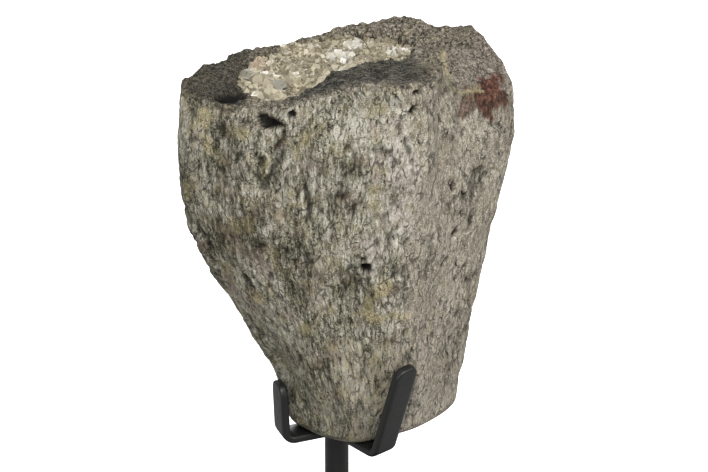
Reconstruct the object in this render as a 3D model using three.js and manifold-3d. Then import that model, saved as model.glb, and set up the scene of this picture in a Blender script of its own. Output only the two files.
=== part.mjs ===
// A section of a fossil theropod metatarsal standing in a three-armed steel cradle.
// The bone is wide at its broken proximal end, on top, and narrow at its lower end.
// Its broken top has a hollow, the spongy core of the bone, filled by a crust of calcite crystals.
// Millimetres, +Z up, the origin under the post on the surface that the stand rests on.
// X runs to the right and Y away from a viewer who faces the broad front of the bone.
import * as THREE from 'three';
import Module from 'manifold-3d';
import { mergeVertices } from 'three/addons/utils/BufferGeometryUtils.js';

const wasm = await Module();
wasm.setup();

// Stand: a steel plate, a round post and three flat strips bent up into prongs.
const PLATE = { side: 100, thickness: 5, cornerRadius: 4, edge: 0.8 };
const POST = { radius: 3.95, top: 65 };
const STRIP = { width: 9, thickness: 2.8, edge: 0.6, bend: 3.4, start: 3.7, tipRadius: 3.6 };
const JOINT_GAP = 0.3;
// angle: direction in plan. reach: end of the level run. lean: outward tilt of the prong. rise: its tip.
const ARMS = [
  { name: 'cradle_arm_left', angle: 202, reach: 15.7, lean: 2, rise: 19 },
  { name: 'cradle_arm_right', angle: -49, reach: 20.2, lean: 18, rise: 34 },
  { name: 'cradle_arm_back', angle: 83, reach: 22, lean: 11, rise: 26 },
];

// Bone: ten ridges run from the lower end to the top, given in plan [x, y] at stations every 25 mm.
// They go round anticlockwise seen from above, starting at the left edge.
const STATION_STEP = 25;
const RAILS = {
  leftEdge: [[-14.5, 0], [-23.8, -1], [-34.6, -4], [-46, -5], [-48, -5], [-47, -4]],
  leftFront: [[-9.5, -9], [-17, -10.5], [-29, -13], [-40, -14.5], [-42, -14.5], [-40.5, -13]],
  frontLeft: [[-2, -14.5], [-8, -19], [-16, -21.5], [-24, -23.5], [-27, -23.5], [-25, -22.5]],
  frontMiddle: [[6, -17], [5, -23], [1, -26], [-2, -27.5], [-2, -27.5], [0, -26.5]],
  frontRidge: [[14.6, -13.8], [19, -22], [20, -24.5], [22, -25.5], [24, -25], [25, -24]],
  rightFlute: [[28, -6], [32, -8.5], [33, -8], [36, -7], [38, -6], [36.5, -6]],
  rightBulge: [[40, 11], [43, 12], [47, 13], [52, 13], [57, 14], [54, 16]],
  backRight: [[33, 25], [36, 27], [40, 29], [44, 31], [47, 32], [45.5, 30]],
  backMiddle: [[14, 25], [13, 28], [11, 31], [10, 34], [10, 36.5], [10, 38]],
  backLeft: [[-3, 14], [-11, 16], [-18, 18], [-26, 20], [-29, 22], [-28, 23]],
};
const BONE_AXIS = { low: [12, 6], high: [-2, 10] };
const EDGE_ROUND = { low: 3.6, high: 2.2 };
const BONE_GRID = { around: 72, low: 3, side: 19, top: 11, corner: 3 };

// Broken top, heights above the lower end of the bone.
const SHELF = 120.8;
const PLATEAU_RISE = 7.6;
// The back rim in plan and how far it stands above the shelf: [x, y, rise], from left to right.
const BACK_RIM = [
  [-50, -2, 2.4], [-43, 8, 2.2], [-36, 15, 0.6], [-24, 24, 1.2], [-11, 33, 1.9], [1, 37, 3.8], [12, 38, 5.4],
  [23, 38, 7.2], [33, 35, 5], [40, 32, 4.6], [46, 29, 6.2], [55, 18, 6.2],
];
// The scar is a slope that falls to the right: its height at a point of its upper edge and its fall along x and y.
// In front of frontY it rises steeply, so it ends before the front ridge.
const SCAR = { at: [44.2, 2], height: 116.3, fallX: 0.813, riseY: 0.407, frontY: -4, frontRise: 1.5, blend: 1.6 };

// Hollow of the top and the crystal crust that fills it, as a plan outline round HOLLOW.centre.
const HOLLOW = {
  centre: [-3, 11],
  floor: 114.5,
  outline: [
    [-30, 4], [-28.5, -9], [-21, -19], [-9, -16.5], [2, -7], [13, 0.5], [24, 11], [28.5, 21],
    [19, 30], [3, 32], [-12, 28], [-24, 17],
  ],
};
const CRUST = { top: 119.6, clearance: 0.35, around: 40, rings: 6, crystals: 30, crystalSize: 3.4 };

// Pits where the skin of the bone has flaked off: rail is a place between two ridges, counted from the left edge.
const PITS = [
  { rail: 2.12, height: 116.2, radius: 2.6, depth: 6 },
  { rail: 2.52, height: 120.2, radius: 1.6, depth: 5 },
  { rail: 3.95, height: 119.6, radius: 1.9, depth: 6 },
  { rail: 3.52, height: 67.4, radius: 1.8, depth: 5 },
  { rail: 1.55, height: 41, radius: 1.7, depth: 4 },
];

// Worn hollows and chips: a point of the bone within the radius moves along the direction by up to the depth.
const DENTS = [
  { centre: [-20, -8, 20], radius: [11, 11, 15], direction: [0.92, 0.38, 0], depth: 4.2 },
  { centre: [31, -12, 112], radius: [9, 9, 26], direction: [-0.8, 0.6, 0], depth: 2.6 },
  { centre: [-27, -26, 120], radius: [13, 9, 8], direction: [0, 0.7, -0.7], depth: 4 },
  { centre: [-52, -2, 64], radius: [9, 12, 7], direction: [1, 0, 0], depth: 1.2 },
  { centre: [50, 8, 62], radius: [10, 12, 9], direction: [-1, 0, 0], depth: 1.8 },
  { centre: [-10, 38, 60], radius: [26, 14, 34], direction: [0.2, -1, 0], depth: 4 },
  { centre: [-40, 14, 92], radius: [14, 14, 24], direction: [0.6, -0.8, 0], depth: 3 },
];

const clamp01 = (t) => Math.min(1, Math.max(0, t));

function smoothstep(from, to, value) {
  const t = clamp01((value - from) / (to - from));
  return t * t * (3 - 2 * t);
}

// The Catmull-Rom curve through b and c, with a and d as their outer neighbours.
function spline(a, b, c, d, t) {
  const linear = c - a;
  const square = 2 * a - 5 * b + 4 * c - d;
  const cube = 3 * b - a - 3 * c + d;
  return b + 0.5 * t * (linear + t * (square + t * cube));
}

// A ridge of the bone in plan at a height.
function railAt(points, height) {
  const last = points.length - 1;
  const place = Math.min(last - 1e-6, Math.max(0, height / STATION_STEP));
  const i = Math.floor(place);
  const at = (k) => points[Math.min(last, Math.max(0, k))];
  return [0, 1].map((axis) => spline(at(i - 1)[axis], at(i)[axis], at(i + 1)[axis], at(i + 2)[axis], place - i));
}

// A closed smooth outline through plan points, at a place counted in points.
function outlineAt(points, place) {
  const count = points.length;
  const i = Math.floor(place);
  const at = (k) => points[((k % count) + count) % count];
  return [0, 1].map((axis) => spline(at(i - 1)[axis], at(i)[axis], at(i + 1)[axis], at(i + 2)[axis], place - i));
}

// The unbroken outline of the bone in plan at a height.
function sectionAt(place, height) {
  return outlineAt(Object.values(RAILS).map((points) => railAt(points, height)), place);
}

// The smaller of two heights, with the corner between them rounded over a width.
function softMin(a, b, width) {
  const near = clamp01(0.5 + 0.5 * (b - a) / width);
  return b + (a - b) * near - width * near * (1 - near) / 2;
}

// Plan position and rise of the back rim at an x.
function backRimAt(x) {
  const beyond = BACK_RIM.findIndex(([rimX]) => rimX > x);
  const i = beyond === -1 ? BACK_RIM.length - 1 : Math.max(1, beyond);
  const [x0, y0, rise0] = BACK_RIM[i - 1];
  const [x1, y1, rise1] = BACK_RIM[i];
  const t = clamp01((x - x0) / (x1 - x0));
  return [y0 + t * (y1 - y0), rise0 + t * (rise1 - rise0)];
}

// Height of the broken top: a level shelf, a raised plateau at the front and right, and a fallen scar at the right.
function topHeight(x, y) {
  const crest = Math.min(-16 + 0.42 * (x + 14), -3);
  const front = smoothstep(-24, 10, x) * (1 - smoothstep(crest, crest + 4.5, y));
  const side = smoothstep(17, 26, x) * (1 - smoothstep(8, 24, y));
  const plateau = SHELF + PLATEAU_RISE * (1 - (1 - front) * (1 - side));
  const [rimY, rise] = backRimAt(x);
  const back = SHELF + rise * smoothstep(rimY - 15, rimY - 1, y);
  const slope = SCAR.height - SCAR.fallX * (x - SCAR.at[0]) + SCAR.riseY * (y - SCAR.at[1]);
  const scar = slope + SCAR.frontRise * Math.max(0, SCAR.frontY - y);
  return softMin(Math.max(plateau, back), scar, SCAR.blend);
}

// Low swellings of the whole surface, in millimetres outwards.
function swelling(x, y, z) {
  const broad = Math.sin(x / 9.1 + z / 17 + 1.3) * Math.sin(y / 8.3 - z / 23 + 0.4);
  const fine = Math.sin(x / 4.3 - 0.7) * Math.sin(z / 7.7 + y / 5.9 + 2.1);
  return 0.7 * broad + 0.35 * fine;
}

function dented(point) {
  const moved = point.clone();
  for (const { centre, radius, direction, depth } of DENTS) {
    const offset = centre.map((c, axis) => (point.getComponent(axis) - c) / radius[axis]);
    const near = 1 - smoothstep(0, 1, Math.hypot(...offset));
    moved.addScaledVector(new THREE.Vector3(...direction).normalize(), depth * near);
  }
  return moved;
}

function axisAt(height) {
  const t = clamp01(height / SHELF);
  return [0, 1].map((axis) => BONE_AXIS.low[axis] + t * (BONE_AXIS.high[axis] - BONE_AXIS.low[axis]));
}

// Places round the bone at equal steps along its outline at a height.
function evenPlaces(points, count) {
  const fine = 400;
  const total = points.length;
  const lengths = [0];
  for (let i = 1; i <= fine; i += 1) {
    const [x0, y0] = outlineAt(points, ((i - 1) / fine) * total);
    const [x1, y1] = outlineAt(points, (i / fine) * total);
    lengths.push(lengths[i - 1] + Math.hypot(x1 - x0, y1 - y0));
  }
  const places = [];
  for (let k = 0, i = 0; k < count; k += 1) {
    const target = (k / count) * lengths[fine];
    while (lengths[i + 1] < target) i += 1;
    const share = (target - lengths[i]) / (lengths[i + 1] - lengths[i]);
    places.push(((i + share) / fine) * total);
  }
  return places;
}

// A closed mesh of rings that rise from the south point to the north point.
function closedSurface(south, rings, north) {
  const around = rings[0].length;
  const corners = [south, ...rings.flat(), north];
  const last = corners.length - 1;
  const index = [];
  const id = (ring, k) => 1 + ring * around + (k % around);
  for (let k = 0; k < around; k += 1) {
    index.push(0, id(0, k + 1), id(0, k));
    index.push(last, id(rings.length - 1, k), id(rings.length - 1, k + 1));
    for (let ring = 0; ring + 1 < rings.length; ring += 1) {
      index.push(id(ring, k), id(ring, k + 1), id(ring + 1, k + 1));
      index.push(id(ring, k), id(ring + 1, k + 1), id(ring + 1, k));
    }
  }
  const geometry = new THREE.BufferGeometry().setFromPoints(corners);
  geometry.setIndex(index);
  return geometry;
}

function solidFrom(geometry) {
  const loose = geometry.index ? geometry.toNonIndexed() : geometry;
  const bare = new THREE.BufferGeometry().setAttribute('position', loose.getAttribute('position'));
  const merged = mergeVertices(bare, 1e-4);
  return new wasm.Manifold(new wasm.Mesh({
    numProp: 3,
    vertProperties: merged.attributes.position.array,
    triVerts: new Uint32Array(merged.index.array),
  }));
}

function geometryFrom(solid) {
  const mesh = solid.getMesh();
  const geometry = new THREE.BufferGeometry();
  geometry.setAttribute('position', new THREE.BufferAttribute(mesh.vertProperties.slice(), 3));
  geometry.setIndex(new THREE.BufferAttribute(mesh.triVerts.slice(), 1));
  geometry.computeVertexNormals();
  return geometry;
}

// One column of the bone's skin, from the lower face over the side to the middle of the top.
function boneColumn(place) {
  const grid = BONE_GRID;
  const rimPlan = sectionAt(place, SHELF);
  const rim = topHeight(...rimPlan);
  const column = [];
  const put = (height, inset, z = height) => {
    const [x, y] = sectionAt(place, height);
    const [ax, ay] = axisAt(height);
    const reach = Math.hypot(x - ax, y - ay);
    const grow = (reach - inset + (inset > 0 ? 0 : swelling(x, y, height))) / reach;
    column.push(new THREE.Vector3(ax + (x - ax) * grow, ay + (y - ay) * grow, z));
  };
  const lowReach = Math.hypot(...sectionAt(place, 0).map((c, axis) => c - axisAt(0)[axis]));
  for (let i = 1; i <= grid.low; i += 1) {
    put(0, lowReach - (lowReach - EDGE_ROUND.low) * (i / grid.low));
  }
  for (let i = 1; i <= grid.corner; i += 1) {
    const turn = (i / grid.corner) * (Math.PI / 2);
    put(EDGE_ROUND.low * (1 - Math.cos(turn)), EDGE_ROUND.low * (1 - Math.sin(turn)));
  }
  const from = EDGE_ROUND.low;
  const to = rim - EDGE_ROUND.high;
  for (let i = 1; i <= grid.side; i += 1) put(from + (to - from) * (i / grid.side), 0);
  for (let i = 1; i <= 2; i += 1) {
    const turn = (i / 2) * (Math.PI / 2);
    put(to, EDGE_ROUND.high * (1 - Math.cos(turn)) + 1e-3, to + EDGE_ROUND.high * Math.sin(turn));
  }
  const [ax, ay] = axisAt(SHELF);
  const edge = column.at(-1);
  for (let i = 1; i < grid.top; i += 1) {
    const keep = 1 - i / grid.top;
    const x = ax + (edge.x - ax) * keep;
    const y = ay + (edge.y - ay) * keep;
    column.push(new THREE.Vector3(x, y, topHeight(x, y) + 0.8 * swelling(y, x, 40)));
  }
  return column.map(dented);
}

function boneSkin() {
  const rails = Object.values(RAILS).map((points) => railAt(points, 100));
  const columns = evenPlaces(rails, BONE_GRID.around).map(boneColumn);
  const rings = columns[0].map((_, i) => columns.map((column) => column[i]));
  const [lowX, lowY] = axisAt(0);
  const [highX, highY] = axisAt(SHELF);
  const north = new THREE.Vector3(highX, highY, topHeight(highX, highY));
  return solidFrom(closedSurface(new THREE.Vector3(lowX, lowY, 0), rings, north));
}

// A block whose plan follows the hollow's outline, grown by a margin, from a floor to a top height function.
function hollowBlock(margin, floor, rings, heightAt) {
  const [cx, cy] = HOLLOW.centre;
  const outline = evenPlaces(HOLLOW.outline, CRUST.around).map((place) => outlineAt(HOLLOW.outline, place));
  const ringAt = (share, height) => outline.map(([x, y]) => {
    const reach = Math.hypot(x - cx, y - cy);
    const grow = (share * (reach + margin)) / reach;
    const px = cx + (x - cx) * grow;
    const py = cy + (y - cy) * grow;
    return new THREE.Vector3(px, py, height === undefined ? heightAt(px, py) : height);
  });
  const stack = [ringAt(1, floor)];
  for (let i = 0; i < rings; i += 1) stack.push(ringAt(1 - i / rings));
  return solidFrom(closedSurface(
    new THREE.Vector3(cx, cy, floor),
    stack,
    new THREE.Vector3(cx, cy, heightAt(cx, cy)),
  ));
}

function crustHeight(x, y) {
  const lumps = 0.7 * Math.sin(x / 2.9 + y / 7) * Math.sin(y / 2.6 - x / 9);
  return CRUST.top + 0.03 * (y - 5) + 1.6 * smoothstep(14, 30, y) + lumps;
}

// Calcite breaks into skewed blocks with flat faces: each one is a box, sheared and turned.
function crystal(k) {
  const spread = Math.sqrt((k + 0.6) / CRUST.crystals);
  const turn = k * 2.39996;
  const [cx, cy] = HOLLOW.centre;
  const ring = outlineAt(HOLLOW.outline, ((turn / (2 * Math.PI)) % 1) * HOLLOW.outline.length);
  const x = cx + (ring[0] - cx) * spread * 0.84;
  const y = cy + (ring[1] - cy) * spread * 0.84;
  const size = CRUST.crystalSize * (0.75 + 0.5 * Math.abs(Math.sin(k * 12.9)));
  const geometry = new THREE.BoxGeometry(size * 1.25, size, size * 0.85);
  geometry.applyMatrix4(new THREE.Matrix4().makeShear(0.3, 0, 0, 0.2, 0, 0));
  geometry.applyMatrix4(new THREE.Matrix4().makeRotationFromEuler(new THREE.Euler(k * 1.7, k * 0.9, k * 2.3)));
  geometry.translate(x, y, crustHeight(x, y) + 0.1 * size);
  return solidFrom(geometry);
}

function makeCrust() {
  const bed = hollowBlock(0, HOLLOW.floor + CRUST.clearance, CRUST.rings, crustHeight);
  const crystals = Array.from({ length: CRUST.crystals }, (_, k) => crystal(k));
  const inside = hollowBlock(-0.2, HOLLOW.floor + CRUST.clearance, 1, () => 140);
  return crystals.reduce((whole, one) => whole.add(one), bed).intersect(inside);
}

// Each pit is a tapered hole with its mouth on the skin, pointing at the axis of the bone.
function pitTool({ rail, height, radius, depth }) {
  const [x, y] = sectionAt(rail, height);
  const [ax, ay] = axisAt(height);
  const geometry = new THREE.ConeGeometry(radius, depth * 1.8, 6);
  geometry.rotateX(-Math.PI / 2);
  geometry.applyMatrix4(new THREE.Matrix4().makeScale(1, 1.3, 1));
  geometry.rotateX(Math.PI / 2);
  geometry.rotateX(-Math.PI / 2);
  const inwards = new THREE.Vector3(ax - x, ay - y, 0).normalize();
  geometry.applyQuaternion(new THREE.Quaternion().setFromUnitVectors(new THREE.Vector3(0, 0, -1), inwards));
  geometry.translate(x, y, height);
  return solidFrom(geometry);
}

function makeBone() {
  const pocket = hollowBlock(CRUST.clearance, HOLLOW.floor, 1, () => 140);
  return PITS.reduce((whole, pit) => whole.subtract(pitTool(pit)), boneSkin().subtract(pocket));
}

// Side view of a strip: level from the post, then bent up into a prong.
function armProfile({ reach, lean, rise }) {
  const { thickness, bend, start } = STRIP;
  const tilt = THREE.MathUtils.degToRad(lean);
  const turn = Math.PI / 2 - tilt;
  const inner = bend - thickness / 2;
  const outer = bend + thickness / 2;
  const centreZ = inner;
  const along = new THREE.Vector2(Math.sin(tilt), Math.cos(tilt));
  const innerEnd = new THREE.Vector2(reach + inner * Math.sin(turn), centreZ - inner * Math.cos(turn));
  const length = (rise - innerEnd.y) / along.y;
  const innerTip = innerEnd.clone().addScaledVector(along, length);
  const outerTip = innerTip.clone().add(new THREE.Vector2(along.y * thickness, -along.x * thickness));
  const shape = new THREE.Shape();
  shape.moveTo(start, -thickness);
  shape.lineTo(reach, -thickness);
  shape.absarc(reach, centreZ, outer, -Math.PI / 2, -Math.PI / 2 + turn, false);
  shape.lineTo(outerTip.x, outerTip.y);
  shape.lineTo(innerTip.x, innerTip.y);
  shape.absarc(reach, centreZ, inner, -Math.PI / 2 + turn, -Math.PI / 2, true);
  shape.lineTo(start, 0);
  shape.closePath();
  return shape;
}

// Front view of a strip: straight sides and a rounded tip.
function paddleShape(rise) {
  const half = STRIP.width / 2 + 0.5;
  const tip = STRIP.width / 2;
  const shape = new THREE.Shape();
  shape.moveTo(-half, -20);
  shape.lineTo(half, -20);
  shape.lineTo(half, rise - STRIP.tipRadius - 0.5);
  shape.lineTo(tip, rise - STRIP.tipRadius);
  shape.absarc(tip - STRIP.tipRadius, rise - STRIP.tipRadius, STRIP.tipRadius, 0, Math.PI / 2, false);
  shape.absarc(STRIP.tipRadius - tip, rise - STRIP.tipRadius, STRIP.tipRadius, Math.PI / 2, Math.PI, false);
  shape.lineTo(-half, rise - STRIP.tipRadius - 0.5);
  shape.closePath();
  return shape;
}

function makeArm(arm) {
  const { width, edge } = STRIP;
  const strip = new THREE.ExtrudeGeometry(armProfile(arm), {
    depth: width - 2 * edge,
    bevelThickness: edge,
    bevelSize: edge,
    bevelOffset: -edge,
    bevelSegments: 1,
    curveSegments: 5,
  });
  strip.translate(0, 0, -(width - 2 * edge) / 2);
  strip.rotateX(Math.PI / 2);
  const paddle = new THREE.ExtrudeGeometry(paddleShape(arm.rise), { depth: 80, bevelEnabled: false, curveSegments: 4 });
  paddle.applyMatrix4(new THREE.Matrix4().makeBasis(
    new THREE.Vector3(0, 1, 0),
    new THREE.Vector3(0, 0, 1),
    new THREE.Vector3(1, 0, 0),
  ));
  const post = new THREE.CylinderGeometry(POST.radius + JOINT_GAP, POST.radius + JOINT_GAP, 20, 24);
  post.rotateX(Math.PI / 2);
  return solidFrom(strip).intersect(solidFrom(paddle)).subtract(solidFrom(post));
}

function makePlate() {
  const { side, thickness, cornerRadius, edge } = PLATE;
  const half = side / 2 - edge;
  const r = cornerRadius - edge;
  const shape = new THREE.Shape();
  shape.moveTo(-half + r, -half);
  shape.absarc(half - r, -half + r, r, -Math.PI / 2, 0, false);
  shape.absarc(half - r, half - r, r, 0, Math.PI / 2, false);
  shape.absarc(-half + r, half - r, r, Math.PI / 2, Math.PI, false);
  shape.absarc(-half + r, -half + r, r, Math.PI, 1.5 * Math.PI, false);
  return new THREE.ExtrudeGeometry(shape, {
    depth: thickness - 2 * edge,
    bevelThickness: edge,
    bevelSize: edge,
    bevelSegments: 1,
    curveSegments: 4,
  }).translate(0, 0, edge);
}

function makePost() {
  const length = POST.top - PLATE.thickness;
  const geometry = new THREE.CylinderGeometry(POST.radius, POST.radius, length, 32);
  geometry.rotateX(Math.PI / 2);
  geometry.translate(0, 0, PLATE.thickness + length / 2);
  return geometry;
}

const boneMaterial = new THREE.MeshStandardMaterial({ color: '#7c7866', roughness: 0.85, metalness: 0 });
const calciteMaterial = new THREE.MeshStandardMaterial({ color: '#cfc8b4', roughness: 0.45, metalness: 0 });
const steelMaterial = new THREE.MeshStandardMaterial({ color: '#1c1c1b', roughness: 0.38, metalness: 0 });

function addPiece(group, name, geometry, material) {
  const mesh = new THREE.Mesh(geometry, material);
  mesh.name = name;
  group.add(mesh);
  return mesh;
}

const part = new THREE.Group();
addPiece(part, 'base_plate', makePlate(), steelMaterial);
addPiece(part, 'post', makePost(), steelMaterial);
for (const arm of ARMS) {
  const mesh = addPiece(part, arm.name, geometryFrom(makeArm(arm)), steelMaterial);
  mesh.rotation.z = THREE.MathUtils.degToRad(arm.angle);
  mesh.position.z = POST.top;
}

const specimen = new THREE.Group();
specimen.position.z = POST.top + JOINT_GAP;
addPiece(specimen, 'metatarsal_bone', geometryFrom(makeBone()), boneMaterial);
addPiece(specimen, 'calcite_crust', geometryFrom(makeCrust()), calciteMaterial);
part.add(specimen);

export default part;
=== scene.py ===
# %% [markdown]
# # A fossil theropod metatarsal section on a steel stand
#
# The real object is a section of a large foot bone turned to stone. Its top is broken open, and
# calcite crystals have grown in the hollow. It rests in a black steel cradle: three flat strips,
# bent up into prongs, on a round post with a base plate.
#
# The imported CAD model is the fixed frame. This lesson dresses it: each visible piece but the base
# plate is a surface worked out with numpy, in the same place as the plain solid that it stands for.
# The base plate keeps its imported mesh and takes the black paint.

# %% Load the imported model
import math

import bpy
import numpy as np
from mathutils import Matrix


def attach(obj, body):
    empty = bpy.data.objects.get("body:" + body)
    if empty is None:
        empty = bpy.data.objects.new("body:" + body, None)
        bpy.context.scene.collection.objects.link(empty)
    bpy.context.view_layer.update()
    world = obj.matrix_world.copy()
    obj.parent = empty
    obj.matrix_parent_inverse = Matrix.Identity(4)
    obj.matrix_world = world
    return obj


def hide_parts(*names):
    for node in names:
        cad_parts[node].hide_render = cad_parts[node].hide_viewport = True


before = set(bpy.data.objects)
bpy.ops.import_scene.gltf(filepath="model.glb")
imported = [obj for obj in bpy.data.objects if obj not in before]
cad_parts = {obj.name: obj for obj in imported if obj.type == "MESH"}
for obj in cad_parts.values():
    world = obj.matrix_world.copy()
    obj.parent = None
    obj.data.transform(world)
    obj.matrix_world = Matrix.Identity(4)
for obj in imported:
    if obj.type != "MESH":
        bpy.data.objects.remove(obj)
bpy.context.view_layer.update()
print("nodes:", sorted(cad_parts))

MM = 0.001
POST_TOP = 65.0
BONE_FOOT = POST_TOP + 0.3

# %% [markdown]
# ## Camera and light
#
# The photograph looks down at the specimen by about 25 degrees, from far away, so the lines hardly
# converge. A long lens at 0.8 m gives the same flat view. The picture was taken in a light tent,
# with no hard shadow anywhere: four soft lights and a white world take the place of its walls.

# %% Camera
VIEW_ELEVATION = math.radians(25)
VIEW_DISTANCE = 800.0
VIEW_TARGET = np.array([5.72, 0.0, 132.4])
FOCAL_PIXELS = 2516.0
PHOTO_WIDTH = 708.0

towards_viewer = np.array([0.0, -math.cos(VIEW_ELEVATION), math.sin(VIEW_ELEVATION)])
camera = bpy.data.objects.new("camera", bpy.data.cameras.new("camera"))
camera.data.sensor_width = 36.0
camera.data.lens = FOCAL_PIXELS / PHOTO_WIDTH * camera.data.sensor_width
camera.location = (VIEW_TARGET + VIEW_DISTANCE * towards_viewer) * MM
camera.rotation_euler = (math.pi / 2 - VIEW_ELEVATION, 0, 0)
bpy.context.scene.collection.objects.link(camera)
bpy.context.scene.camera = camera
bpy.context.scene.view_settings.view_transform = "Standard"


# %% Soft lights
def linear(red, green, blue, alpha=1.0):
    """An sRGB colour of 0 to 255 as the linear values that shaders take."""
    parts = np.array([red, green, blue]) / 255
    low, high = parts / 12.92, ((parts + 0.055) / 1.055) ** 2.4
    return (*np.where(parts <= 0.04045, low, high).tolist(), alpha)


def soft_light(name, place, aim, size, watts):
    """A square area light at a place in metres, turned so that it shines at a point."""
    lamp = bpy.data.objects.new(name, bpy.data.lights.new(name, "AREA"))
    lamp.data.size = size
    lamp.data.energy = watts
    lamp.location = place
    away = np.array(place) - np.array(aim)
    flat = math.hypot(away[0], away[1])
    lamp.rotation_euler = (math.atan2(flat, away[2]), 0, math.atan2(away[0], -away[1]))
    bpy.context.scene.collection.objects.link(lamp)


BONE_MIDDLE = (0.0, 0.0, 0.13)
soft_light("overhead", (0.1, -0.6, 0.85), BONE_MIDDLE, 0.4, 8.0)
soft_light("front_left", (-0.5, -0.95, 0.4), BONE_MIDDLE, 0.35, 3.6)
soft_light("right", (0.95, -0.55, 0.35), BONE_MIDDLE, 0.3, 6.0)
soft_light("behind", (-0.2, 0.9, 0.6), BONE_MIDDLE, 0.5, 4.0)

world = bpy.data.worlds.new("white walls")
world.use_nodes = True
world.node_tree.nodes["Background"].inputs["Color"].default_value = (1, 1, 1, 1)
world.node_tree.nodes["Background"].inputs["Strength"].default_value = 0.42
bpy.context.scene.world = world

# %% [markdown]
# ## Small tools
#
# A shader is a graph of nodes, which is slow to read as code. `Wire` holds one socket and overloads
# the arithmetic operators, so a mask can be written as `1 - edge * 0.5`, and `Shader` adds the nodes.
# The mesh maker takes whole numpy arrays, so no shape needs a loop over its vertices.


# %% Shader expressions
class Wire:
    """One output socket of a node, with arithmetic that adds Math nodes."""

    def __init__(self, shader, socket):
        self.shader, self.socket = shader, socket

    def math(self, operation, first, second):
        return self.shader.node("ShaderNodeMath", {"operation": operation}, {0: first, 1: second})

    def __add__(self, other):
        return self.math("ADD", self, other)

    def __sub__(self, other):
        return self.math("SUBTRACT", self, other)

    def __mul__(self, other):
        return self.math("MULTIPLY", self, other)

    def __rsub__(self, other):
        return self.math("SUBTRACT", other, self)

    __radd__, __rmul__ = __add__, __mul__

    def over(self, low, high):
        """0 below low, 1 above high and a smooth rise between them. Low above high turns it round."""
        flipped = low > high
        low, high = min(low, high), max(low, high)
        settings, ends = {"interpolation_type": "SMOOTHSTEP"}, {"From Min": low, "From Max": high}
        rise = self.shader.node("ShaderNodeMapRange", settings, {"Value": self, **ends})
        return 1 - rise if flipped else rise


class Shader:
    """A material whose nodes are added by short calls."""

    def __init__(self, name):
        self.material = bpy.data.materials.new(name)
        self.material.use_nodes = True
        self.tree = self.material.node_tree
        self.surface = self.tree.nodes["Principled BSDF"]

    def put(self, socket, value):
        if isinstance(value, Wire):
            self.tree.links.new(value.socket, socket)
        else:
            socket.default_value = value

    def node(self, kind, settings=None, values=None, output=0):
        made = self.tree.nodes.new(kind)
        for key, setting in (settings or {}).items():
            setattr(made, key, setting)
        for key, value in (values or {}).items():
            self.put(made.inputs[key], value)
        return Wire(self, made.outputs[output])

    def mix(self, amount, first, second):
        """Colour: first where amount is 0, second where it is 1."""
        made = self.tree.nodes.new("ShaderNodeMix")
        made.data_type = "RGBA"
        for number, value in ((0, amount), (6, first), (7, second)):
            self.put(made.inputs[number], value)
        return Wire(self, made.outputs[2])

    def attribute(self, name, output="Fac"):
        return self.node("ShaderNodeAttribute", {"attribute_name": name}, output=output)

    def place(self, source, scale):
        """A vector stretched by a scale along x, y and z."""
        return self.node("ShaderNodeVectorMath", {"operation": "MULTIPLY"}, {0: source, 1: scale})

    def noise(self, vector, scale, detail, roughness, output=0):
        values = {"Vector": vector, "Scale": scale, "Detail": detail, "Roughness": roughness}
        return self.node("ShaderNodeTexNoise", {}, values, output)

    def cells(self, vector, scale, feature="F1"):
        values = {"Vector": vector, "Scale": scale}
        return self.node("ShaderNodeTexVoronoi", {"feature": feature}, values, output="Distance")

    def bump(self, height, strength, distance):
        values = {"Height": height, "Strength": strength, "Distance": distance}
        return self.node("ShaderNodeBump", {}, values)

    def finish(self, **sockets):
        for name, value in sockets.items():
            self.put(self.surface.inputs[name.replace("_", " ")], value)
        return self.material


# %% Meshes from arrays
def make_piece(name, points, faces, smooth=True):
    """A mesh object from points in millimetres and faces of equal length, at the origin."""
    mesh = bpy.data.meshes.new(name)
    mesh.from_pydata((np.asarray(points) * MM).tolist(), [], np.asarray(faces).tolist())
    mesh.polygons.foreach_set("use_smooth", np.full(len(mesh.polygons), smooth))
    mesh.update()
    piece = bpy.data.objects.new(name, mesh)
    bpy.context.scene.collection.objects.link(piece)
    return piece


def closed_rings(rings, south, north):
    """Points and triangles of rings that rise from a south point to a north point.

    rings has the shape (rings, around, 3) and each ring runs anticlockwise seen from above.
    """
    count, around, _ = rings.shape
    points = np.concatenate([[south], rings.reshape(-1, 3), [north]])
    ids = 1 + np.arange(count * around).reshape(count, around)
    beside = np.roll(ids, -1, axis=1)
    a, b, c, d = ids[:-1], beside[:-1], beside[1:], ids[1:]
    walls = np.stack([a, b, c, a, c, d], axis=-1).reshape(-1, 3)
    foot = np.stack([np.zeros(around, int), beside[0], ids[0]], axis=-1)
    cap = np.stack([np.full(around, len(points) - 1), ids[-1], beside[-1]], axis=-1)
    return points, np.concatenate([foot, walls, cap])


def give_attribute(piece, name, values):
    """A number for each vertex of a piece, for its material to read."""
    layer = piece.data.attributes.new(name, "FLOAT", "POINT")
    layer.data.foreach_set("value", np.asarray(values, float).ravel())


# %% Curves and noise on whole arrays
def smooth(low, high, value):
    """0 below low, 1 above high, and 3t^2 - 2t^3 between them. Low above high turns it round."""
    t = np.clip((value - low) / (high - low), 0, 1)
    return t * t * (3 - 2 * t)


def spline(a, b, c, d, t):
    """The Catmull-Rom curve from b to c: it leaves b along c - a and meets c along d - b."""
    return b + 0.5 * t * ((c - a) + t * ((2 * a - 5 * b + 4 * c - d) + t * (3 * b - a - 3 * c + d)))


def scatter(corner, seed):
    """Three numbers of 0 to 1 for each lattice corner, from a hash of its place."""
    code = corner[..., 0] * 374761393 + corner[..., 1] * 668265263 + corner[..., 2] * 1440662683
    code = (code + seed * 974634777) & 0xFFFFFFFF
    code = ((code ^ (code >> 13)) * 1274126177) & 0xFFFFFFFF
    code ^= code >> 16
    return np.stack([code & 255, (code >> 8) & 255, (code >> 16) & 255], axis=-1) / 255


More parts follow.
